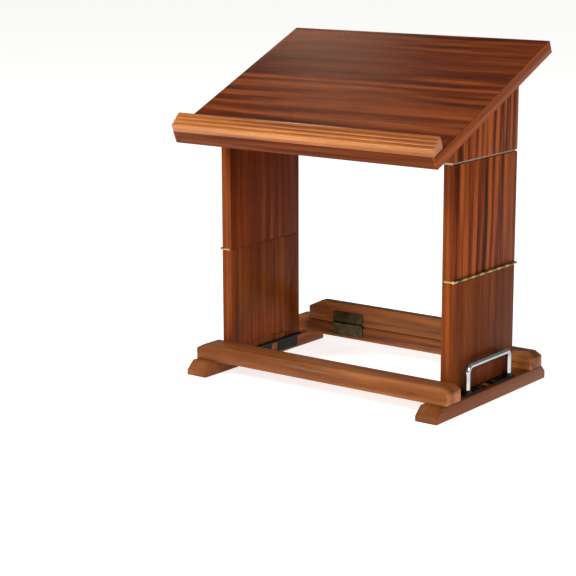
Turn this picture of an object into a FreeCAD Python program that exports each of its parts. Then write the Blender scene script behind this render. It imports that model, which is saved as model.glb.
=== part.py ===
import FreeCAD, Part
import math
import os
from FreeCAD import Vector

# Folding table-top bible stand, in millimetres.
# +Z is up, +Y runs from the reader towards the back and +X is the reader's right.
# The base is drawn about its own middle and then moved along Y by stand_shift_y(),
# so that the origin is on the floor under the middle of the whole stand's box.

# Base: two foot boards with a front and a back rail across them.
FOOT_OUTER_X = 238.0
FOOT_INNER_X = 200.0
FOOT_HALF_LENGTH = 163.0
FOOT_THICK = 22.0
FRONT_TOE_FACE = 8.5
FRONT_TOE_RUN = 15.0
BACK_TOE_FACE = 12.0
BACK_TOE_RUN = 10.0
RAIL_THICK = 25.0
RAIL_TOP_Z = FOOT_THICK + RAIL_THICK
FRONT_RAIL_Y = (-138.0, -95.5)
BACK_RAIL_Y = (113.5, 151.5)
RAIL_EDGE_CHAMFER = 5.0
RAIL_END_RUN = 12.0
RAIL_END_DROP = 7.0

# Leg panels, each in two halves that fold inwards at the knee.
PANEL_THICK = 18.0
LEG_INNER_X = FOOT_INNER_X
LEG_OUTER_X = LEG_INNER_X + PANEL_THICK
LEG_FRONT_Y = -93.5
LEG_BACK_Y = 91.0

# Piano hinges. Each leaf lies on the end of its panel, and the barrel stands
# clear of the face by BARREL_STANDOFF, inside at foot and top, outside at the knee.
LEAF_THICK = 1.3
LEAF_GAP = 0.1
SEAM_HALF = LEAF_THICK + LEAF_GAP
LEAF_WIDTH = 15.0
BARREL_STANDOFF = 2.0
BARREL_RADIUS = 2.2
PIN_RADIUS = 1.1
PIN_CLEARANCE = 0.05
BARREL_FRONT_Y = -94.9
BARREL_BACK_Y = 92.1
KNUCKLES = 15
KNUCKLE_GAP = 0.7
FOOT_AXIS_Z = FOOT_THICK + SEAM_HALF
HALF_LEG = 176.0
KNEE_AXIS_Z = FOOT_AXIS_Z + HALF_LEG
TOP_AXIS_Z = KNEE_AXIS_Z + HALF_LEG
INNER_AXIS_X = LEG_INNER_X - BARREL_STANDOFF
OUTER_AXIS_X = LEG_OUTER_X + BARREL_STANDOFF
PIANO_SCREW_Y = (-74.0, -38.0, -2.0, 34.0, 70.0)
PIANO_SCREW_INSET = 8.0
NECK_LENGTH = 0.5

# Plates of the foot hinge on the inner side of each foot board.
FOOT_PLATES_Y = ((-88.0, -34.0), (-16.0, 12.0), (30.0, 84.0))
FOOT_PLATE_BOTTOM_Z = 4.0
FOOT_PLATE_SCREW_Z = 11.0
FOOT_PLATE_SCREW_INSET = 14.0
FOOT_PLATE_CLEARANCE = 0.3
FOOT_PLATE_NECK_TOP = 1.5
BOLT_Y = (-54.0, -8.0, 42.0)
CROSS_DOWEL_Z = 37.5
CROSS_DOWEL_RADIUS = 2.9
CROSS_DOWEL_LENGTH = 13.0

# Desk board, in its own slope: V runs up the slope from the front edge and W is
# square to the board, from its underside.
DESK_WIDTH = 483.0
DESK_DEPTH = 354.0
DESK_THICK = 20.0
DESK_SLOPE = 23.6
DESK_FRONT_Y = -175.7
DESK_FRONT_Z = 379.7
LIPPING = 6.0

# Reeded ledge that stops the book.
LEDGE_HALF_WIDTH = 240.5
LEDGE_DEPTH = 25.0
LEDGE_FRONT_HEIGHT = 12.0
LEDGE_RIDGE_HEIGHT = 20.5
LEDGE_RIDGE_WIDTH = 5.0
LEDGE_REEDS = 3
LEDGE_REED_CROWN = 0.35
LEDGE_SCREW_V = 15.0
LEDGE_SCREW_X = (-190.0, -64.0, 64.0, 190.0)

DOWEL_RADIUS = 4.0
DOWEL_LENGTH = 26.0
CHEEK_DOWEL_V = (120.0, 185.0, 255.0)

# Stop bar on the back rail, and its two butt hinges.
BAR_HALF_LENGTH = 195.0
BAR_THICK = 16.0
BAR_HEIGHT = 35.0
BAR_CLIP_RUN = 27.0
BAR_CLIP_DROP = 13.0
BAR_STANDOFF = 2.6
BAR_BARREL_RADIUS = 2.4
BAR_PIN_RADIUS = 1.3
BAR_LEAF_THICK = 1.5
BAR_LEAF_HEIGHT = 17.0
BAR_LEAF_CORNER = 3.0
BAR_HINGE_CENTRES_X = (-113.0, 113.0)
BAR_HINGE_LENGTH = 60.0
BAR_KNUCKLES = 5
BAR_SCREW_STEP = 21.0
BAR_SCREW_RISE = 9.35
BAR_NECK_START = 0.6

# Wire handles on the outer strip of each foot board, in black brackets.
HANDLE_X = 228.0
HANDLE_HALF_SPAN = 61.5
HANDLE_WIRE_RADIUS = 4.7
HANDLE_TOP_Z = 65.5
HANDLE_BEND = 10.0
BRACKET_X = (219.0, 233.5)
BRACKET_Y = (10.0, 74.0)
BRACKET_THICK = 3.0
BRACKET_COLLAR_RADIUS = 7.4
BRACKET_COLLAR_HEIGHT = 4.5
BRACKET_SCREW_Y = 21.0
BRACKET_CORNER = 3.0
BRACKET_COLLAR_TAPER = 1.4

# Countersunk screws: head radius, shank radius and length.
RAIL_SCREW = (4.2, 2.2, 38.0)
HANDLE_SCREW = (4.2, 2.0, 34.0)
BRACKET_SCREW = (4.0, 1.8, 16.0)
PIANO_SCREW = (2.8, 1.3, 16.0)
FOOT_PLATE_SCREW = (2.8, 1.3, 14.0)
BAR_SCREW = (2.9, 1.4, 13.0)
LEDGE_SCREW = (3.4, 1.6, 28.0)
LEG_BOLT_RADII = (2.8, 1.5)
RAIL_SCREW_SPREAD_X = 10.0
RAIL_SCREW_RECESS = 0.8
SOLE_RECESS = 1.0
SCREW_TIP_RADIUS = 0.3
SLOT_LENGTH = 1.1
SLOT_WIDTH = 0.7
SLOT_DEPTH = 0.8

UP = Vector(0, 0, 1)
DOWN = Vector(0, 0, -1)
OUT = Vector(1, 0, 0)
BACK = Vector(0, 1, 0)


def box(x, y, z):
    """A block between the pairs of limits x, y and z."""
    size = [high - low for low, high in (x, y, z)]
    return Part.makeBox(size[0], size[1], size[2], Vector(x[0], y[0], z[0]))


def prism(points, travel):
    """A closed outline of points, pushed along the vector travel."""
    corners = [Vector(*p) for p in points]
    outline = Part.makePolygon(corners + corners[:1])
    return Part.Face(outline).extrude(travel)


def side_profile(points_yz, x_low, x_high):
    """A board whose outline is drawn in Y and Z."""
    return prism([(x_low, y, z) for y, z in points_yz], Vector(x_high - x_low, 0, 0))


def fuse_all(shapes):
    return shapes[0].multiFuse(shapes[1:]).removeSplitter() if len(shapes) > 1 else shapes[0]


def cut_all(shape, tools):
    return shape.cut(Part.makeCompound(tools)) if tools else shape


def mirrored(shape):
    """The same piece on the reader's left."""
    return shape.mirror(Vector(0, 0, 0), OUT)


def screw(head, direction, size):
    """A countersunk screw of the size (head radius, shank radius, length), with its flat
    head at the point head. It comes as two shapes: the blank, which fills its hole, and
    the screw itself, which has a cross slot."""
    head_radius, shank_radius, length = size
    sink = head_radius - shank_radius
    cone = Part.makeCone(head_radius, shank_radius, sink, head, direction)
    shank = Part.makeCylinder(shank_radius, length - 2 * shank_radius, head, direction)
    tip_base = head + direction * (length - 2 * shank_radius)
    tip = Part.makeCone(shank_radius, SCREW_TIP_RADIUS, 2 * shank_radius, tip_base, direction)
    blank = fuse_all([cone, shank, tip])
    slots = []
    reach = head_radius * SLOT_LENGTH
    for turn in (0, 90):
        corner = Vector(-reach / 2, -SLOT_WIDTH / 2, 0)
        slot = Part.makeBox(reach, SLOT_WIDTH, SLOT_DEPTH, corner)
        slot.rotate(Vector(0, 0, 0), UP, turn)
        slots.append(slot)
    cross = fuse_all(slots)
    turn_axis = UP.cross(direction)
    angle = math.degrees(UP.getAngle(direction))
    if turn_axis.Length > 1e-6:
        cross.rotate(Vector(0, 0, 0), turn_axis, angle)
    elif angle > 90:
        cross.rotate(Vector(0, 0, 0), OUT, 180)
    cross.translate(head)
    return blank, blank.cut(cross)


def holes(screws):
    """The blanks of some screws, to cut their holes with."""
    return [blank for blank, slotted in screws]


def group(screws):
    """The slotted shapes of some screws, in one node."""
    return Part.makeCompound([slotted for blank, slotted in screws])


def mirrored_screws(screws):
    return [(mirrored(blank), mirrored(slotted)) for blank, slotted in screws]


def knuckle_spans(low, high, count, first):
    """The stretches of every other knuckle along a barrel, from knuckle number first."""
    pitch = (high - low) / count
    half_gap = KNUCKLE_GAP / 2
    return [
        (low + i * pitch + half_gap, low + (i + 1) * pitch - half_gap)
        for i in range(first, count, 2)
    ]


def piano_leaf(axis_x, axis_z, side_x, side_z, first):
    """One leaf of a piano hinge: side_x says which way it lies from the barrel along X,
    and side_z whether it is above or below the seam."""
    near = axis_x + side_x * (BARREL_RADIUS + NECK_LENGTH)
    far = axis_x + side_x * (BARREL_STANDOFF + LEAF_WIDTH)
    faces_z = sorted((axis_z + side_z * LEAF_GAP, axis_z + side_z * SEAM_HALF))
    plate_y = (LEG_FRONT_Y, LEG_BACK_Y)
    parts = [box(sorted((near, far)), plate_y, faces_z)]
    for low, high in knuckle_spans(BARREL_FRONT_Y, BARREL_BACK_Y, KNUCKLES, first):
        centre = Vector(axis_x, low, axis_z)
        neck_y = (max(low, LEG_FRONT_Y), min(high, LEG_BACK_Y))
        parts.append(box(sorted((axis_x, near)), neck_y, faces_z))
        parts.append(Part.makeCylinder(BARREL_RADIUS, high - low, centre, BACK))
    bore = Part.makeCylinder(
        PIN_RADIUS + PIN_CLEARANCE,
        BARREL_BACK_Y - BARREL_FRONT_Y,
        Vector(axis_x, BARREL_FRONT_Y, axis_z),
        BACK,
    )
    return fuse_all(parts).cut(bore)


def piano_pin(axis_x, axis_z):
    length = BARREL_BACK_Y - BARREL_FRONT_Y
    return Part.makeCylinder(PIN_RADIUS, length, Vector(axis_x, BARREL_FRONT_Y, axis_z), BACK)


def piano_screws(panel_x, seam_z, side_z):
    """The row of screws through a piano leaf into the end of its panel."""
    head_z = seam_z + side_z * LEAF_GAP
    way = UP if side_z > 0 else DOWN
    return [screw(Vector(panel_x, y, head_z), way, PIANO_SCREW) for y in PIANO_SCREW_Y]


def make_foot():
    outline = [
        (-FOOT_HALF_LENGTH, 0),
        (-FOOT_HALF_LENGTH, FRONT_TOE_FACE),
        (-FOOT_HALF_LENGTH + FRONT_TOE_RUN, FOOT_THICK),
        (FOOT_HALF_LENGTH - BACK_TOE_RUN, FOOT_THICK),
        (FOOT_HALF_LENGTH, BACK_TOE_FACE),
        (FOOT_HALF_LENGTH, 0),
    ]
    return side_profile(outline, FOOT_INNER_X, FOOT_OUTER_X)


def make_rail(y_limits, chamfered_y):
    """A cross rail: one long top edge is chamfered, and both ends are clipped."""
    rail = box((-FOOT_OUTER_X, FOOT_OUTER_X), y_limits, (FOOT_THICK, RAIL_TOP_Z))
    inward = math.copysign(RAIL_EDGE_CHAMFER, sum(y_limits) / 2 - chamfered_y)
    edge = [
        (chamfered_y, RAIL_TOP_Z - RAIL_EDGE_CHAMFER),
        (chamfered_y + inward, RAIL_TOP_Z),
        (chamfered_y, RAIL_TOP_Z),
    ]
    cutters = [side_profile(edge, -FOOT_OUTER_X, FOOT_OUTER_X)]
    y_low, y_high = y_limits
    for side in (-1, 1):
        end = [
            (side * FOOT_OUTER_X, y_low, RAIL_TOP_Z - RAIL_END_DROP),
            (side * FOOT_OUTER_X, y_low, RAIL_TOP_Z),
            (side * (FOOT_OUTER_X - RAIL_END_RUN), y_low, RAIL_TOP_Z),
        ]
        cutters.append(prism(end, Vector(0, y_high - y_low, 0)))
    return rail.cut(fuse_all(cutters))


def make_rail_screws():
    """Two screws up through each foot board into each rail."""
    screws = []
    for side in (-1, 1):
        for y_low, y_high in (FRONT_RAIL_Y, BACK_RAIL_Y):
            middle = (y_low + y_high) / 2
            for offset in (-RAIL_SCREW_SPREAD_X, RAIL_SCREW_SPREAD_X):
                x = side * (FOOT_OUTER_X + FOOT_INNER_X) / 2 + offset
                screws.append(screw(Vector(x, middle, RAIL_SCREW_RECESS), UP, RAIL_SCREW))
    return screws


def make_handle():
    """A wire handle: two legs and a top bar with rounded corners."""
    low = FOOT_THICK
    top = HANDLE_TOP_Z
    span = HANDLE_HALF_SPAN
    bend = HANDLE_BEND
    near = bend * (1 - math.sqrt(0.5))
    x = HANDLE_X
    edges = [
        Part.LineSegment(Vector(x, -span, low), Vector(x, -span, top - bend)),
        Part.Arc(
            Vector(x, -span, top - bend),
            Vector(x, -span + near, top - near),
            Vector(x, -span + bend, top),
        ),
        Part.LineSegment(Vector(x, -span + bend, top), Vector(x, span - bend, top)),
        Part.Arc(
            Vector(x, span - bend, top),
            Vector(x, span - near, top - near),
            Vector(x, span, top - bend),
        ),
        Part.LineSegment(Vector(x, span, top - bend), Vector(x, span, low)),
    ]
    path = Part.Wire([edge.toShape() for edge in edges])
    section = Part.Wire([Part.makeCircle(HANDLE_WIRE_RADIUS, Vector(x, -span, low), UP)])
    return path.makePipeShell([section], True, False)


def make_handle_screws():
    """Machine screws from under the foot board into the handle's legs."""
    return [
        screw(Vector(HANDLE_X, y, SOLE_RECESS), UP, HANDLE_SCREW)
        for y in (-HANDLE_HALF_SPAN, HANDLE_HALF_SPAN)
    ]


def make_bracket(side_y):
    """A flat black bracket with a collar round one leg of the handle."""
    x_low, x_high = BRACKET_X
    y_low, y_high = sorted((side_y * BRACKET_Y[0], side_y * BRACKET_Y[1]))
    plate = box((x_low, x_high), (y_low, y_high), (FOOT_THICK, FOOT_THICK + BRACKET_THICK))
    upright = [edge for edge in plate.Edges if abs(edge.tangentAt(0).z) > 0.99]
    plate = plate.makeFillet(BRACKET_CORNER, upright)
    leg = Vector(HANDLE_X, side_y * HANDLE_HALF_SPAN, FOOT_THICK)
    height = BRACKET_THICK + BRACKET_COLLAR_HEIGHT
    rim = BRACKET_COLLAR_RADIUS - BRACKET_COLLAR_TAPER
    collar = Part.makeCone(BRACKET_COLLAR_RADIUS, rim, height, leg, UP)
    foot_y = (-FOOT_HALF_LENGTH, FOOT_HALF_LENGTH)
    trim = box((x_low, x_high), foot_y, (FOOT_THICK, FOOT_THICK + height))
    bracket = fuse_all([plate, collar.common(trim)])
    return bracket.cut(Part.makeCylinder(HANDLE_WIRE_RADIUS, height, leg, UP))


def make_bracket_screws():
    x = sum(BRACKET_X) / 2
    z = FOOT_THICK + BRACKET_THICK
    return [
        screw(Vector(x, side_y * BRACKET_SCREW_Y, z), DOWN, BRACKET_SCREW)
        for side_y in (-1, 1)
    ]


def make_foot_leaf():
    """The fixed leaf of the foot hinge: a strip under the leg and plates on the foot's side."""
    leaf = piano_leaf(INNER_AXIS_X, FOOT_AXIS_Z, 1, -1, 0)
    plate_x = (LEG_INNER_X - LEAF_THICK, LEG_INNER_X)
    plate_top = FOOT_AXIS_Z - BARREL_RADIUS - FOOT_PLATE_CLEARANCE
    spans = knuckle_spans(BARREL_FRONT_Y, BARREL_BACK_Y, KNUCKLES, 0)
    parts = [leaf]
    for y_low, y_high in FOOT_PLATES_Y:
        parts.append(box(plate_x, (y_low, y_high), (FOOT_PLATE_BOTTOM_Z, plate_top)))
        for low, high in spans:
            neck = (max(low, y_low), min(high, y_high))
            if neck[1] > neck[0]:
                neck_z = (plate_top, FOOT_AXIS_Z - FOOT_PLATE_NECK_TOP)
                parts.append(box(plate_x, neck, neck_z))
    return fuse_all(parts)


def make_foot_plate_screws():
    screws = []
    for y_low, y_high in FOOT_PLATES_Y:
        middle = (y_low + y_high) / 2
        reach = max(0, (y_high - y_low) / 2 - FOOT_PLATE_SCREW_INSET)
        for y in sorted({middle - reach, middle + reach}):
            head = Vector(LEG_INNER_X - LEAF_THICK, y, FOOT_PLATE_SCREW_Z)
            screws.append(screw(head, OUT, FOOT_PLATE_SCREW))
    return screws


def make_leg_bolts():
    """Bolts through the moving foot leaf, up the leg into the cross dowels."""
    x = LEG_INNER_X + PIANO_SCREW_INSET
    z = FOOT_AXIS_Z + LEAF_GAP
    size = (*LEG_BOLT_RADII, CROSS_DOWEL_Z - z)
    return [screw(Vector(x, y, z), UP, size) for y in BOLT_Y]


def make_cross_dowels():
    return [
        Part.makeCylinder(
            CROSS_DOWEL_RADIUS,
            CROSS_DOWEL_LENGTH,
            Vector(LEG_INNER_X, y, CROSS_DOWEL_Z),
            OUT,
        )
        for y in BOLT_Y
    ]


def make_leg_panel(z_low, z_high):
    """Half a leg. At the knee it is rebated for the hinge leaf, so that wood meets wood inside."""
    depth = (LEG_FRONT_Y, LEG_BACK_Y)
    panel = box((LEG_INNER_X, LEG_OUTER_X), depth, (z_low, z_high))
    leaf_end = OUTER_AXIS_X - BARREL_STANDOFF - LEAF_WIDTH
    seam = (KNEE_AXIS_Z - SEAM_HALF, KNEE_AXIS_Z + SEAM_HALF)
    return panel.cut(box((leaf_end, LEG_OUTER_X), depth, seam))


def on_slope(shape):
    """Moves a shape from the desk's own X, V, W into the stand."""
    shape.rotate(Vector(0, 0, 0), OUT, DESK_SLOPE)
    shape.translate(Vector(0, DESK_FRONT_Y, DESK_FRONT_Z))
    return shape


def slope_point(x, v, w):
    """A point of the desk's own X, V, W, in the stand."""
    angle = math.radians(DESK_SLOPE)
    y = v * math.cos(angle) - w * math.sin(angle)
    z = v * math.sin(angle) + w * math.cos(angle)
    return Vector(x, DESK_FRONT_Y + y, DESK_FRONT_Z + z)


def slope_normal():
    angle = math.radians(DESK_SLOPE)
    return Vector(0, -math.sin(angle), math.cos(angle))


def stand_shift_y():
    """How far back the base sits, for the ledge and the feet to reach equally far."""
    ledge_front = slope_point(0, 0, DESK_THICK + LEDGE_FRONT_HEIGHT)
    return -(ledge_front.y + FOOT_HALF_LENGTH) / 2


def underside_z(y):
    """Height of the desk's underside at the depth y."""
    return DESK_FRONT_Z + (y - DESK_FRONT_Y) * math.tan(math.radians(DESK_SLOPE))


def make_cheek():
    """The wedge under each end of the desk."""
    bottom = TOP_AXIS_Z + SEAM_HALF
    outline = [
        (LEG_FRONT_Y, bottom),
        (LEG_FRONT_Y, underside_z(LEG_FRONT_Y)),
        (LEG_BACK_Y, underside_z(LEG_BACK_Y)),
        (LEG_BACK_Y, bottom),
    ]
    return side_profile(outline, LEG_INNER_X, LEG_OUTER_X)


def make_cheek_dowels():
    """Dowels square to the desk, half in the board and half in each cheek."""
    x = (LEG_INNER_X + LEG_OUTER_X) / 2
    return [
        Part.makeCylinder(
            DOWEL_RADIUS,
            DOWEL_LENGTH,
            slope_point(x, v, -DOWEL_LENGTH / 2),
            slope_normal(),
        )
        for v in CHEEK_DOWEL_V
    ]


def make_ledge():
    """A moulding: a square front fillet, reeds that climb, and a flat ridge at the back."""
    low = DESK_THICK
    front_top = low + LEDGE_FRONT_HEIGHT
    ridge_top = low + LEDGE_RIDGE_HEIGHT
    ridge_front = LEDGE_DEPTH - LEDGE_RIDGE_WIDTH
    run = ridge_front / LEDGE_REEDS
    rise = (LEDGE_RIDGE_HEIGHT - LEDGE_FRONT_HEIGHT) / LEDGE_REEDS
    x = -LEDGE_HALF_WIDTH
    edges = [Part.LineSegment(Vector(x, 0, low), Vector(x, 0, front_top))]
    for i in range(LEDGE_REEDS):
        start = Vector(x, i * run, front_top + i * rise)
        end = Vector(x, (i + 1) * run, front_top + (i + 1) * rise)
        foot = Vector(x, (i + 1) * run, front_top + i * rise)
        crown = (start + foot) * 0.5 + Vector(0, 0, LEDGE_REED_CROWN * rise)
        edges.append(Part.Arc(start, crown, foot))
        edges.append(Part.LineSegment(foot, end))
    edges.append(Part.LineSegment(end, Vector(x, LEDGE_DEPTH, ridge_top)))
    edges.append(Part.LineSegment(Vector(x, LEDGE_DEPTH, ridge_top), Vector(x, LEDGE_DEPTH, low)))
    edges.append(Part.LineSegment(Vector(x, LEDGE_DEPTH, low), Vector(x, 0, low)))
    outline = Part.Wire([edge.toShape() for edge in edges])
    moulding = Part.Face(outline).extrude(Vector(2 * LEDGE_HALF_WIDTH, 0, 0))
    return on_slope(moulding)


def make_ledge_screws():
    """Screws from under the desk into the ledge."""
    return [
        screw(slope_point(x, LEDGE_SCREW_V, 0), slope_normal(), LEDGE_SCREW)
        for x in LEDGE_SCREW_X
    ]


def make_bar():
    """The stop bar, with both top corners clipped."""
    low = RAIL_TOP_Z
    high = low + BAR_HEIGHT
    end = BAR_HALF_LENGTH
    outline = [
        (-end, low),
        (-end, high - BAR_CLIP_DROP),
        (-end + BAR_CLIP_RUN, high),
        (end - BAR_CLIP_RUN, high),
        (end, high - BAR_CLIP_DROP),
        (end, low),
    ]
    front = BACK_RAIL_Y[0]
    return prism([(x, front, z) for x, z in outline], Vector(0, BAR_THICK, 0))


def bar_axis_y():
    return BACK_RAIL_Y[0] - BAR_STANDOFF


def make_bar_leaf(centre_x, side_z, first):
    """One leaf of a butt hinge, above (side_z 1) or below (-1) its barrel."""
    axis_z = RAIL_TOP_Z
    face_y = BACK_RAIL_Y[0]
    plate_y = (face_y - BAR_LEAF_THICK, face_y)
    near = axis_z + side_z * (BAR_BARREL_RADIUS + NECK_LENGTH)
    far = near + side_z * BAR_LEAF_HEIGHT
    x_low = centre_x - BAR_HINGE_LENGTH / 2
    x_high = centre_x + BAR_HINGE_LENGTH / 2
    plate = box((x_low, x_high), plate_y, sorted((near, far)))
    outer_edges = [
        edge
        for edge in plate.Edges
        if abs(edge.tangentAt(0).y) > 0.99 and abs(edge.CenterOfMass.z - far) < 0.1
    ]
    parts = [plate.makeFillet(BAR_LEAF_CORNER, outer_edges)]
    for low, high in knuckle_spans(x_low, x_high, BAR_KNUCKLES, first):
        centre = Vector(low, bar_axis_y(), axis_z)
        neck_z = sorted((axis_z + side_z * BAR_NECK_START, near))
        parts.append(box((low, high), plate_y, neck_z))
        parts.append(Part.makeCylinder(BAR_BARREL_RADIUS, high - low, centre, OUT))
    bore = Part.makeCylinder(
        BAR_PIN_RADIUS + PIN_CLEARANCE,
        BAR_HINGE_LENGTH,
        Vector(x_low, bar_axis_y(), axis_z),
        OUT,
    )
    return fuse_all(parts).cut(bore)


def make_bar_screws(centre_x, side_z):
    z = RAIL_TOP_Z + side_z * (BAR_BARREL_RADIUS + NECK_LENGTH + BAR_SCREW_RISE)
    y = BACK_RAIL_Y[0] - BAR_LEAF_THICK
    return [
        screw(Vector(centre_x + offset, y, z), BACK, BAR_SCREW)
        for offset in (-BAR_SCREW_STEP, 0, BAR_SCREW_STEP)
    ]


def make_bar_pins():
    return [
        Part.makeCylinder(
            BAR_PIN_RADIUS,
            BAR_HINGE_LENGTH,
            Vector(centre_x - BAR_HINGE_LENGTH / 2, bar_axis_y(), RAIL_TOP_Z),
            OUT,
        )
        for centre_x in BAR_HINGE_CENTRES_X
    ]


def base_nodes():
    nodes = {}
    rail_screws = make_rail_screws()
    handle_screws = make_handle_screws()
    bracket_screws = make_bracket_screws()
    plate_screws = make_foot_plate_screws()
    sinks = []
    for blank in holes(rail_screws + handle_screws):
        middle = blank.BoundBox.Center
        sole = Vector(middle.x, middle.y, 0)
        sinks.append(Part.makeCylinder(RAIL_SCREW[0], SOLE_RECESS, sole))
    foot_screws = rail_screws + handle_screws + bracket_screws + plate_screws
    foot = cut_all(make_foot(), holes(foot_screws) + sinks)
    pair = {
        "foot": foot,
        "handle": cut_all(make_handle(), holes(handle_screws)),
        "handle_brackets": cut_all(
            Part.makeCompound([make_bracket(-1), make_bracket(1)]), holes(bracket_screws)
        ),
        "foot_hinge_base_leaf": cut_all(make_foot_leaf(), holes(plate_screws)),
        "foot_hinge_pin": piano_pin(INNER_AXIS_X, FOOT_AXIS_Z),
    }
    for name, shape in pair.items():
        nodes[name + "_right"] = shape
        nodes[name + "_left"] = mirrored(shape)
    both_sides = {
        "handle_screws": handle_screws,
        "bracket_screws": bracket_screws,
        "foot_hinge_screws": plate_screws,
    }
    for name, screws in both_sides.items():
        nodes[name] = group(screws + mirrored_screws(screws))
    back_rail = make_rail(BACK_RAIL_Y, BACK_RAIL_Y[0])
    rail_leaf_screws = []
    rail_leaves = []
    for centre_x in BAR_HINGE_CENTRES_X:
        screws = make_bar_screws(centre_x, -1)
        rail_leaf_screws += screws
        rail_leaves.append(cut_all(make_bar_leaf(centre_x, -1, 0), holes(screws)))
    nodes["front_rail"] = cut_all(make_rail(FRONT_RAIL_Y, FRONT_RAIL_Y[0]), holes(rail_screws))
    nodes["back_rail"] = cut_all(back_rail, holes(rail_screws + rail_leaf_screws))
    nodes["rail_screws"] = group(rail_screws)
    nodes["bar_hinge_rail_leaves"] = Part.makeCompound(rail_leaves)
    nodes["bar_hinge_rail_screws"] = group(rail_leaf_screws)
    nodes["bar_hinge_pins"] = Part.makeCompound(make_bar_pins())
    return nodes


def bar_nodes():
    leaves = []
    all_screws = []
    for centre_x in BAR_HINGE_CENTRES_X:
        screws = make_bar_screws(centre_x, 1)
        all_screws += screws
        leaves.append(cut_all(make_bar_leaf(centre_x, 1, 1), holes(screws)))
    return {
        "stop_bar": cut_all(make_bar(), holes(all_screws)),
        "bar_hinge_bar_leaves": Part.makeCompound(leaves),
        "bar_hinge_bar_screws": group(all_screws),
    }


def leg_nodes():
    """Both halves of each leg, with the hinge pieces that move with them."""
    screw_x = LEG_INNER_X + PIANO_SCREW_INSET
    bolts = make_leg_bolts()
    dowels = make_cross_dowels()
    knee_low = piano_screws(screw_x, KNEE_AXIS_Z, -1)
    knee_high = piano_screws(screw_x, KNEE_AXIS_Z, 1)
    top_low = piano_screws(screw_x, TOP_AXIS_Z, -1)
    lower = make_leg_panel(FOOT_AXIS_Z + SEAM_HALF, KNEE_AXIS_Z - LEAF_GAP)
    upper = make_leg_panel(KNEE_AXIS_Z + LEAF_GAP, TOP_AXIS_Z - SEAM_HALF)
    pair = {
        "lower_leg": cut_all(lower, holes(bolts + knee_low) + dowels),
        "foot_hinge_leg_leaf": cut_all(
            piano_leaf(INNER_AXIS_X, FOOT_AXIS_Z, 1, 1, 1), holes(bolts)
        ),
        "leg_bolts": group(bolts),
        "cross_dowels": cut_all(Part.makeCompound(dowels), holes(bolts)),
        "knee_hinge_lower_leaf": cut_all(
            piano_leaf(OUTER_AXIS_X, KNEE_AXIS_Z, -1, -1, 0), holes(knee_low)
        ),
        "knee_hinge_pin": piano_pin(OUTER_AXIS_X, KNEE_AXIS_Z),
        "upper_leg": cut_all(upper, holes(knee_high + top_low)),
        "knee_hinge_upper_leaf": cut_all(
            piano_leaf(OUTER_AXIS_X, KNEE_AXIS_Z, -1, 1, 1), holes(knee_high)
        ),
        "top_hinge_leg_leaf": cut_all(
            piano_leaf(INNER_AXIS_X, TOP_AXIS_Z, 1, -1, 0), holes(top_low)
        ),
        "top_hinge_pin": piano_pin(INNER_AXIS_X, TOP_AXIS_Z),
        "lower_leg_screws": group(knee_low),
        "upper_leg_screws": group(knee_high + top_low),
    }
    nodes = {}
    for name, shape in pair.items():
        nodes[name + "_right"] = shape
        nodes[name + "_left"] = mirrored(shape)
    return nodes


def desk_nodes():
    half = DESK_WIDTH / 2
    inner = half - LIPPING
    full_w = (0, DESK_THICK)
    middle_v = (LIPPING, DESK_DEPTH - LIPPING)
    right_dowels = make_cheek_dowels()
    left_dowels = [mirrored(d) for d in right_dowels]
    ledge_screws = make_ledge_screws()
    cheek_screws = piano_screws(LEG_INNER_X + PIANO_SCREW_INSET, TOP_AXIS_Z, 1)
    cheek = cut_all(make_cheek(), right_dowels + holes(cheek_screws))
    cheek_leaf = cut_all(piano_leaf(INNER_AXIS_X, TOP_AXIS_Z, 1, 1, 1), holes(cheek_screws))
    panel = on_slope(box((-inner, inner), middle_v, full_w))
    panel = cut_all(panel, right_dowels + left_dowels + holes(ledge_screws))
    return {
        "desk_panel": panel,
        "desk_lipping_front": on_slope(box((-inner, inner), (0, LIPPING), full_w)),
        "desk_lipping_back": on_slope(
            box((-inner, inner), (DESK_DEPTH - LIPPING, DESK_DEPTH), full_w)
        ),
        "desk_lipping_right": on_slope(box((inner, half), (0, DESK_DEPTH), full_w)),
        "desk_lipping_left": on_slope(box((-half, -inner), (0, DESK_DEPTH), full_w)),
        "book_ledge": cut_all(make_ledge(), holes(ledge_screws)),
        "ledge_screws": group(ledge_screws),
        "cheek_right": cheek,
        "cheek_left": mirrored(cheek),
        "cheek_dowels": Part.makeCompound(right_dowels + left_dowels),
        "top_hinge_cheek_leaf_right": cheek_leaf,
        "top_hinge_cheek_leaf_left": mirrored(cheek_leaf),
        "cheek_hinge_screws": group(cheek_screws + mirrored_screws(cheek_screws)),
    }


def export_all():
    os.makedirs("parts", exist_ok=True)
    nodes = {**base_nodes(), **bar_nodes(), **leg_nodes(), **desk_nodes()}
    for name, shape in nodes.items():
        shape.translate(Vector(0, stand_shift_y(), 0))
        shape.exportStep("parts/" + name + ".step")


export_all()
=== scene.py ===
import math

import bmesh
import bpy
from mathutils import Matrix, Vector


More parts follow.
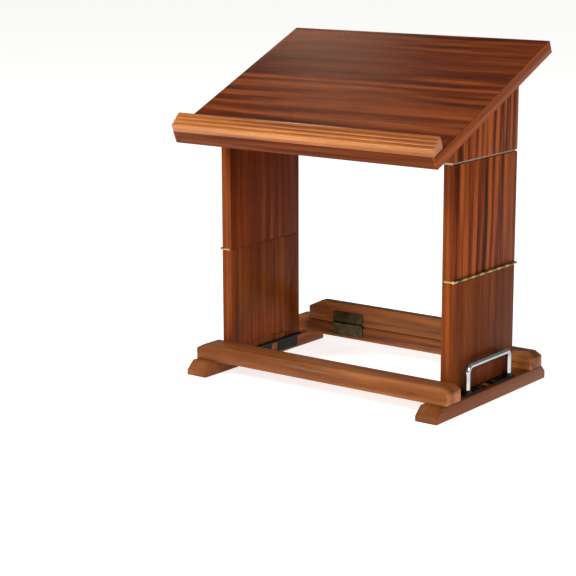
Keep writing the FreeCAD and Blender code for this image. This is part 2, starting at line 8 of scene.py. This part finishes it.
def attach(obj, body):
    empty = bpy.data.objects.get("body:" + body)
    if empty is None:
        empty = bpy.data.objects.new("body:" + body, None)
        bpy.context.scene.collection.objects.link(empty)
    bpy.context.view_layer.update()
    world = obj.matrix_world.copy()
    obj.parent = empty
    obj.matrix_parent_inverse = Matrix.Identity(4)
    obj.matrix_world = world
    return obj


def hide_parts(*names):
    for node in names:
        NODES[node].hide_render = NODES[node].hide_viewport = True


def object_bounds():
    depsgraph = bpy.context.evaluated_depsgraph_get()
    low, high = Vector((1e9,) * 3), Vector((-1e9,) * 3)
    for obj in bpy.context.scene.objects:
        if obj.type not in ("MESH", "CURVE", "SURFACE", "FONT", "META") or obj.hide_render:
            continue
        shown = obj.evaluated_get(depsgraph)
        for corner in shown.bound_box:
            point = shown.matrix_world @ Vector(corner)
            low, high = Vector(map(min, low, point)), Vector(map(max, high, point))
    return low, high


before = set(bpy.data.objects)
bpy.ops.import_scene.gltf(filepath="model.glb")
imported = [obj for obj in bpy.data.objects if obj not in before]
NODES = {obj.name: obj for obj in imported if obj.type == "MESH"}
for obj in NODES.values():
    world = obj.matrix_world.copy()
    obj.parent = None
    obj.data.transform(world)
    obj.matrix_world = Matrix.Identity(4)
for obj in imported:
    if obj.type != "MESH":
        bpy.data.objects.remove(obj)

CAD_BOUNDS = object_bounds()
SLOPE = math.radians(23.6)
DESK_FACE = (0.0, -math.sin(SLOPE), math.cos(SLOPE))

# Colours of wood, each from dark to light.
VENEER = ((0.036, 0.0062, 0.0010), (0.124, 0.0200, 0.0026), (0.290, 0.0640, 0.0110))
PLAIN = ((0.034, 0.0068, 0.0012), (0.108, 0.0225, 0.0036), (0.240, 0.0620, 0.0120))
SOLID = ((0.100, 0.0270, 0.0070), (0.225, 0.0680, 0.0180), (0.400, 0.1400, 0.0400))
FOOT = ((0.080, 0.0210, 0.0055), (0.175, 0.0500, 0.0130), (0.320, 0.1080, 0.0300))
GOLDEN = ((0.130, 0.0270, 0.0040), (0.380, 0.1120, 0.0180), (0.700, 0.2750, 0.0600))
EDGE = ((0.120, 0.0220, 0.0050), (0.270, 0.0640, 0.0140))
FRONT_EDGE = ((0.080, 0.0150, 0.0035), (0.190, 0.0460, 0.0100))
PORE = (0.035, 0.012, 0.006, 1.0)

# How much is taken off the edges of boards, in metres.
RAIL_EASING = 0.0014
BASE_EASING = 0.0012
PANEL_EASING = 0.0008
TRIM_EASING = 0.0005
LIPPING_EASING = 0.0004

# What eased() takes for an edge to soften, and for a narrow, rounded face.
SHORTEST_EDGE = 0.0045
SHARP_ANGLE = math.radians(22)
NARROW_FACE = 0.0035

FLOOR_REACH = 30.0
WORLD_COLOUR = (1.0, 0.97, 0.93, 1.0)
WORLD_STRENGTH = 0.22

CAMERA_PLACE = Vector((1.5390, -2.2422, 0.7582))
CAMERA_LENS = 109.4
CAMERA_SENSOR = 36.0
AZIMUTH = math.radians(36.92)
ELEVATION = math.radians(12.65)
ROLL = math.radians(-0.17)


class Graph:
    """A material's node tree, with short calls to add nodes."""

    def __init__(self, name):
        self.material = bpy.data.materials.new(name)
        self.material.use_nodes = True
        self.tree = self.material.node_tree
        self.shader = self.tree.nodes["Principled BSDF"]
        self.coords = self.tree.nodes.new("ShaderNodeTexCoord")

    def put(self, socket, value):
        if isinstance(value, bpy.types.NodeSocket):
            self.tree.links.new(value, socket)
        else:
            socket.default_value = value

    def node(self, kind, settings=None, inputs=None):
        made = self.tree.nodes.new(kind)
        for key, value in (settings or {}).items():
            setattr(made, key, value)
        for key, value in (inputs or {}).items():
            self.put(made.inputs[key], value)
        return made

    def noise(self, vector, detail=3.0, roughness=0.5, distortion=0.0):
        inputs = {
            "Vector": vector,
            "Scale": 1.0,
            "Detail": detail,
            "Roughness": roughness,
            "Distortion": distortion,
        }
        return self.node("ShaderNodeTexNoise", {}, inputs).outputs["Fac"]

    def place(self, scale, rotation=(0.0, 0.0, 0.0)):
        """The piece's own coordinates in metres, turned and then stretched."""
        turned = self.node(
            "ShaderNodeMapping",
            {"vector_type": "POINT"},
            {"Vector": self.coords.outputs["Object"], "Rotation": rotation},
        )
        stretched = self.node(
            "ShaderNodeVectorMath",
            {"operation": "MULTIPLY"},
            {0: turned.outputs["Vector"], 1: scale},
        )
        return stretched.outputs["Vector"]

    def math(self, operation, first, second=0.0):
        settings = {"operation": operation}
        return self.node("ShaderNodeMath", settings, {0: first, 1: second}).outputs["Value"]

    def spread(self, value, low, high, to_low=0.0, to_high=1.0):
        inputs = {
            "Value": value,
            "From Min": low,
            "From Max": high,
            "To Min": to_low,
            "To Max": to_high,
        }
        return self.node("ShaderNodeMapRange", {"clamp": True}, inputs).outputs["Result"]

    def ramp(self, value, stops):
        made = self.node("ShaderNodeValToRGB", {}, {"Fac": value})
        elements = made.color_ramp.elements
        while len(elements) < len(stops):
            elements.new(0.5)
        for element, (position, colour) in zip(elements, stops):
            element.position = position
            element.color = (*colour, 1.0)
        return made.outputs["Color"]

    def mix(self, factor, first, second):
        made = self.node("ShaderNodeMix", {"data_type": "RGBA"})
        self.put(made.inputs[0], factor)
        self.put(made.inputs[6], first)
        self.put(made.inputs[7], second)
        return made.outputs[2]

    def bump(self, height, strength, distance):
        inputs = {"Height": height, "Strength": strength, "Distance": distance}
        made = self.node("ShaderNodeBump", {}, inputs)
        self.put(self.shader.inputs["Normal"], made.outputs["Normal"])

    def shade(self, **inputs):
        for key, value in inputs.items():
            self.put(self.shader.inputs[key.replace("_", " ")], value)


def along(axis, grain, across):
    """A stretch with the value grain along one axis and across on the other two."""
    scale = [across, across, across]
    scale["xyz".index(axis)] = grain
    return tuple(scale)


def wood(
    name, axis, colours, tilt=0.0, ribbons=60.0, figure=1.0, sheen=0.03,
    rough=(0.34, 0.44), regular=1.0, edge=None, edge_axis="z", face=(1, 0, 0), quiet_shaded_side=None,
):
    """Ribbon-striped mahogany: long broken stripes, fine fibres and short dark pores.
    There are about that many ribbons to the metre, figure says how strong they are, and
    regular how strong the even, wavy ones among them are.
    With edge colours, only the sides that look along face are veneered, and the others
    are a plain lipping whose grain runs along edge_axis. The side that looks along the chosen inward
    direction has little figure, and is darkened there as painted shade."""
    g = Graph(name)
    turn = (-tilt, 0.0, 0.0)

    def looks_along(direction):
        settings = {"operation": "DOT_PRODUCT"}
        inputs = {0: g.coords.outputs["Normal"], 1: direction}
        return g.node("ShaderNodeVectorMath", settings, inputs).outputs["Value"]

    def streaks(grain, across, **settings):
        return g.noise(g.place(along(axis, grain, across), turn), **settings)

    ribbon = streaks(1.3, ribbons, detail=2.0, distortion=0.3)
    position = g.node("ShaderNodeSeparateXYZ", {}, {"Vector": g.place((1.0, 1.0, 1.0), turn)})
    across = position.outputs["X" if axis == "y" else "Y"]
    wander = g.math("MULTIPLY", streaks(3.4, 9.0, detail=1.0), 13.0)
    phase = g.math("ADD", g.math("MULTIPLY", across, math.tau * ribbons / 2), wander)
    wave = g.math("MULTIPLY", g.math("SINE", phase), 0.105 * regular)
    ribbon = g.math("ADD", ribbon, wave)
    broken = streaks(9.0, ribbons * 2.4, detail=2.0)
    broad = streaks(1.8, 11.0, detail=2.0)
    fibre = streaks(26.0, 950.0, detail=2.0)
    pores = streaks(85.0, 2100.0, detail=1.0)
    patches = streaks(2.5, 9.0, detail=1.0)
    strength = g.spread(patches, 0.40, 0.60, 0.30 * figure, figure)
    if quiet_shaded_side:
        quiet = g.spread(looks_along(quiet_shaded_side), 0.4, 0.6, 1.0, 0.35)
        strength = g.math("MULTIPLY", strength, quiet)
    tone = g.math("SUBTRACT", ribbon, 0.5)
    tone = g.math("ADD", g.math("MULTIPLY", tone, 0.75), g.math("MULTIPLY", broken, 0.22))
    tone = g.math("MULTIPLY", g.math("SUBTRACT", tone, 0.11), strength)
    tone = g.math("ADD", tone, g.math("MULTIPLY", broad, 0.22))
    tone = g.math("ADD", tone, g.math("MULTIPLY", fibre, 0.16))
    tone = g.spread(tone, 0.06, 0.32)
    # Painted shade: the side that faces inward, between the legs, is darkened.
    if quiet_shaded_side:
        tone = g.math("MULTIPLY", tone, g.spread(looks_along(quiet_shaded_side), 0.4, 0.6, 1.0, 0.86))
    colour = g.ramp(tone, [(0.0, colours[0]), (0.45, colours[1]), (1.0, colours[2])])
    if edge:
        plain = g.noise(g.place(along(edge_axis, 4.0, 160.0), turn), detail=3.0)
        edge_colour = g.ramp(g.spread(plain, 0.3, 0.7), [(0.0, edge[0]), (1.0, edge[1])])
        side = g.math("ABSOLUTE", looks_along(face))
        colour = g.mix(g.spread(side, 0.80, 0.92), edge_colour, colour)
    pore = g.spread(pores, 0.60, 0.72)
    colour = g.mix(g.math("MULTIPLY", pore, 0.45), colour, PORE)
    g.shade(Base_Color=colour, Specular_IOR_Level=sheen)
    g.shade(Roughness=g.spread(broad, 0.3, 0.7, *rough))
    height = g.math("SUBTRACT", g.math("MULTIPLY", fibre, 0.5), pore)
    g.bump(height, 0.05, 0.0002)
    return g.material


def metal(name, dark, light, roughness, metallic=1.0, grain=40.0, wear=0.0, gloss=0.5):
    """Metal with a faint cloudy finish and fine scratches."""
    g = Graph(name)
    cloud = g.noise(g.place((grain, grain, grain)), detail=4.0, roughness=0.6)
    fine = g.noise(g.place((grain * 30, grain * 30, grain * 30)), detail=2.0)
    tone = g.spread(g.math("ADD", cloud, g.math("MULTIPLY", fine, 0.3)), 0.45, 0.85)
    colour = g.ramp(tone, [(0.0, dark), (1.0, light)])
    g.shade(Base_Color=colour, Metallic=metallic, Specular_IOR_Level=gloss)
    g.shade(Roughness=g.spread(tone, 0.0, 1.0, roughness + wear, roughness))
    g.bump(fine, 0.04, 0.0001)
    return g.material


desk_wood = wood(
    "desk_veneer", "x", VENEER, SLOPE, ribbons=72.0, figure=0.72, sheen=0.05, rough=(0.25, 0.30),
    edge=FRONT_EDGE, edge_axis="x", face=DESK_FACE,
)
side_lipping_wood = wood(
    "side_lipping", "x", VENEER, SLOPE, ribbons=72.0, figure=0.72, sheen=0.05, rough=(0.25, 0.30),
    edge=EDGE, edge_axis="y", face=DESK_FACE,
)
plain_leg_wood = wood(
    "plain_leg_veneer", "z", PLAIN, ribbons=80.0, figure=0.38, regular=0.2, edge=EDGE,
)
leg_woods = {
    side: wood(
        "leg_veneer_" + side, "z", VENEER, ribbons=90.0, figure=1.0, edge=EDGE, quiet_shaded_side=inward
    )
    for side, inward in (("right", (-1, 0, 0)), ("left", (1, 0, 0)))
}
cheek_wood = wood("cheek_veneer", "z", VENEER, ribbons=105.0, figure=1.15, edge=EDGE)
rail_wood = wood("rail_wood", "x", SOLID, ribbons=40.0, figure=0.85, sheen=0.12, regular=0.0)
foot_wood = wood("foot_wood", "y", FOOT, ribbons=40.0, figure=0.5, sheen=0.10, regular=0.0)
ledge_wood = wood(
    "ledge_wood", "x", GOLDEN, SLOPE, ribbons=70.0, figure=0.9, sheen=0.36, rough=(0.20, 0.28),
    regular=0.0,
)

brass = metal("polished_brass", (0.36, 0.25, 0.08), (0.70, 0.52, 0.22), 0.26, wear=0.10)
pale_brass = metal("pale_brass", (0.24, 0.20, 0.13), (0.52, 0.45, 0.33), 0.30, wear=0.10)
aged_brass = metal("aged_brass", (0.10, 0.070, 0.024), (0.34, 0.245, 0.095), 0.34, wear=0.12)
bronze = metal("dark_bronze", (0.040, 0.031, 0.014), (0.150, 0.120, 0.055), 0.38, wear=0.12)
black = metal("black_steel", (0.002, 0.002, 0.0025), (0.009, 0.009, 0.011), 0.42, 0.0, gloss=0.12)
chrome = metal("bright_chrome", (0.38, 0.39, 0.40), (0.62, 0.63, 0.64), 0.04, wear=0.03)
steel = metal("zinc_steel", (0.22, 0.22, 0.21), (0.46, 0.46, 0.44), 0.32, wear=0.1)
dowel_metal = metal("dark_dowel", (0.020, 0.014, 0.010), (0.075, 0.052, 0.034), 0.45)


def paint(name, material):
    """Gives a CAD node its material."""
    mesh = NODES[name].data
    mesh.materials.clear()
    mesh.materials.append(material)


def eased(name, body, material, width):
    """A board with its edges eased by width. It stands in for the square CAD board."""
    mesh = NODES[name].data.copy()
    mesh.materials.clear()
    mesh.materials.append(material)
    work = bmesh.new()
    work.from_mesh(mesh)
    bmesh.ops.remove_doubles(work, verts=work.verts, dist=1e-6)
    bmesh.ops.dissolve_limit(
        work, angle_limit=math.radians(1.0), verts=work.verts, edges=work.edges
    )
    sharp = [
        edge
        for edge in work.edges
        if len(edge.link_faces) == 2
        and edge.calc_length() > SHORTEST_EDGE
        and edge.calc_face_angle(0.0) > SHARP_ANGLE
        and edge.is_convex
    ]
    rounded = []
    if width:
        made = bmesh.ops.bevel(
            work, geom=sharp, offset=width, segments=3, profile=0.5, affect="EDGES",
            clamp_overlap=True,
        )
        rounded = made["faces"]
    for face in work.faces:
        longest = max(edge.calc_length() for edge in face.edges)
        face.smooth = face.calc_area() / longest < NARROW_FACE
    for face in rounded:
        face.smooth = True
    bmesh.ops.triangulate(work, faces=[f for f in work.faces if len(f.verts) > 4])
    work.to_mesh(mesh)
    work.free()
    board = bpy.data.objects.new(name + "_eased", mesh)
    bpy.context.collection.objects.link(board)
    mesh.set_sharp_from_angle(angle=math.radians(32))
    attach(board, body)
    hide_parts(name)


for side in ("right", "left"):
    eased("foot_" + side, "base", foot_wood, BASE_EASING)
    eased("lower_leg_" + side, "lower_leg_" + side, plain_leg_wood, PANEL_EASING)
    eased("upper_leg_" + side, "upper_leg_" + side, leg_woods[side], PANEL_EASING)
    eased("cheek_" + side, "desk", cheek_wood, PANEL_EASING)
    eased("desk_lipping_" + side, "desk", side_lipping_wood, TRIM_EASING)
    for part in ("foot_hinge_base_leaf", "foot_hinge_leg_leaf", "foot_hinge_pin", "handle_brackets"):
        paint(part + "_" + side, black)
    for part in ("knee_hinge_lower_leaf", "knee_hinge_pin", "lower_leg_screws", "upper_leg_screws"):
        paint(part + "_" + side, brass)
    for part in ("top_hinge_leg_leaf", "top_hinge_cheek_leaf", "top_hinge_pin"):
        paint(part + "_" + side, pale_brass)
    paint("knee_hinge_upper_leaf_" + side, aged_brass)
    eased("handle_" + side, "base", chrome, 0.0)
    paint("cross_dowels_" + side, dowel_metal)
    paint("leg_bolts_" + side, steel)
eased("front_rail", "base", rail_wood, RAIL_EASING)
eased("back_rail", "base", rail_wood, RAIL_EASING)
eased("stop_bar", "folding_bar", rail_wood, BASE_EASING)
eased("book_ledge", "desk", ledge_wood, TRIM_EASING)
eased("desk_lipping_front", "desk", desk_wood, LIPPING_EASING)
eased("desk_lipping_back", "desk", desk_wood, LIPPING_EASING)
paint("desk_panel", desk_wood)
paint("cheek_dowels", rail_wood)
paint("foot_hinge_screws", black)
for part in ("rail_screws", "handle_screws", "bracket_screws", "ledge_screws"):
    paint(part, steel)
paint("cheek_hinge_screws", brass)
for part in (
    "bar_hinge_rail_leaves", "bar_hinge_bar_leaves", "bar_hinge_pins",
    "bar_hinge_rail_screws", "bar_hinge_bar_screws",
):
    paint(part, bronze)


def area_light(name, place, target, size, power, colour=(1.0, 1.0, 1.0)):
    lamp = bpy.data.lights.new(name, "AREA")
    lamp.shape = "RECTANGLE"
    lamp.size, lamp.size_y = size
    lamp.energy = power
    lamp.color = colour
    holder = bpy.data.objects.new(name, lamp)
    holder.location = place
    holder.rotation_euler = (Vector(target) - Vector(place)).to_track_quat("-Z", "Y").to_euler()
    bpy.context.collection.objects.link(holder)


area_light("key_light", (-1.9, -2.6, 2.6), (0, 0, 0.25), (1.4, 1.4), 120.0, (1.0, 0.97, 0.93))
area_light("fill_light", (2.8, -1.2, 1.5), (0, 0, 0.2), (1.4, 1.4), 48.0)
area_light("sheen_light", (-2.05, 1.9, 2.35), (-0.2, 0.1, 0.5), (0.45, 0.4), 3.6, (1.0, 0.86, 0.68))

world = bpy.data.worlds.new("studio")
bpy.context.scene.world = world
bpy.context.scene.view_settings.view_transform = "Standard"
world.use_nodes = True
world.node_tree.nodes["Background"].inputs["Color"].default_value = WORLD_COLOUR
world.node_tree.nodes["Background"].inputs["Strength"].default_value = WORLD_STRENGTH

floor_mesh = bpy.data.meshes.new("floor")
corners = [
    (x * FLOOR_REACH, y * FLOOR_REACH, 0.0) for x, y in ((-1, -1), (1, -1), (1, 1), (-1, 1))
]
floor_mesh.from_pydata(corners, [], [(0, 1, 2, 3)])
floor = bpy.data.objects.new("floor", floor_mesh)
floor.location = (0, 0, CAD_BOUNDS[0][2])
bpy.context.collection.objects.link(floor)
floor_graph = Graph("pale_floor")
mottle = floor_graph.noise(floor_graph.place((3.0, 3.0, 3.0)), detail=2.0)
floor_graph.shade(
    Base_Color=floor_graph.ramp(mottle, [(0.0, (0.80, 0.80, 0.80)), (1.0, (0.84, 0.84, 0.84))]),
    Roughness=0.8,
    Emission_Color=(1.0, 1.0, 1.0, 1.0),
    Emission_Strength=0.76,
)
floor_mesh.materials.append(floor_graph.material)

back = Vector((
    math.sin(AZIMUTH) * math.cos(ELEVATION),
    -math.cos(AZIMUTH) * math.cos(ELEVATION),
    math.sin(ELEVATION),
))
camera_data = bpy.data.cameras.new("camera")
camera_data.lens = CAMERA_LENS
camera_data.sensor_width = CAMERA_SENSOR
camera = bpy.data.objects.new("camera", camera_data)
turn = back.to_track_quat("Z", "Y").to_matrix() @ Matrix.Rotation(ROLL, 3, "Z")
camera.matrix_world = Matrix.LocRotScale(CAMERA_PLACE, turn, None)
bpy.context.collection.objects.link(camera)
bpy.context.scene.camera = camera
